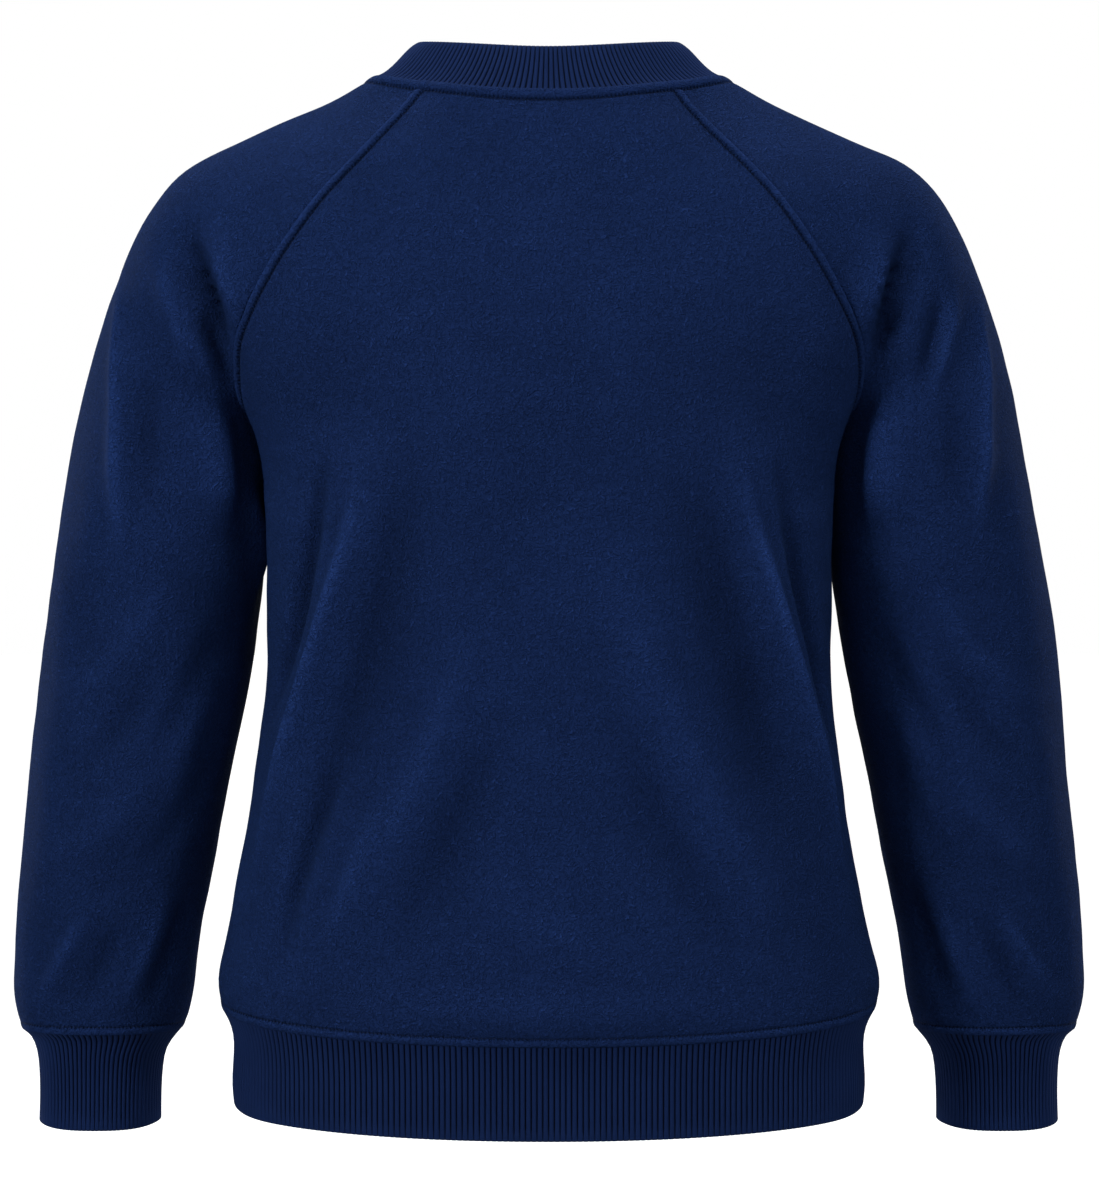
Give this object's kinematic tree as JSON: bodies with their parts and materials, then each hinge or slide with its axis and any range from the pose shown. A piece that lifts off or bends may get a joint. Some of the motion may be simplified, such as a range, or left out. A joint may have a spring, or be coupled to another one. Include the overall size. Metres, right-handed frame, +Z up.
{
  "type": "crewneck sweatshirt",
  "caption": "Adult crewneck sweatshirt with raglan sleeves, hollow and filled out as worn, with a ribbed neckband, hem band and cuffs, in brushed fleece.",
  "frame": {"origin": "middle of the neck opening, at the height of the neck's sides, where the wearer's neck and shoulders hold it", "axes": "+Z up the body, the wearer faces -Y, +X to the wearer's left"},
  "size_m": [0.743, 0.2466, 0.7467],
  "materials": {
    "fleece": "matt brushed navy fleece with a faint nap",
    "rib": "matt navy rib knit"
  },
  "bodies": {
    "root": {"back_panel": "fleece", "front_panel": "fleece", "sleeve_left": "fleece", "sleeve_right": "fleece", "collar_rib": "rib", "hem_rib": "rib", "cuff_left": "rib", "cuff_right": "rib"}
  },
  "joints": []
}
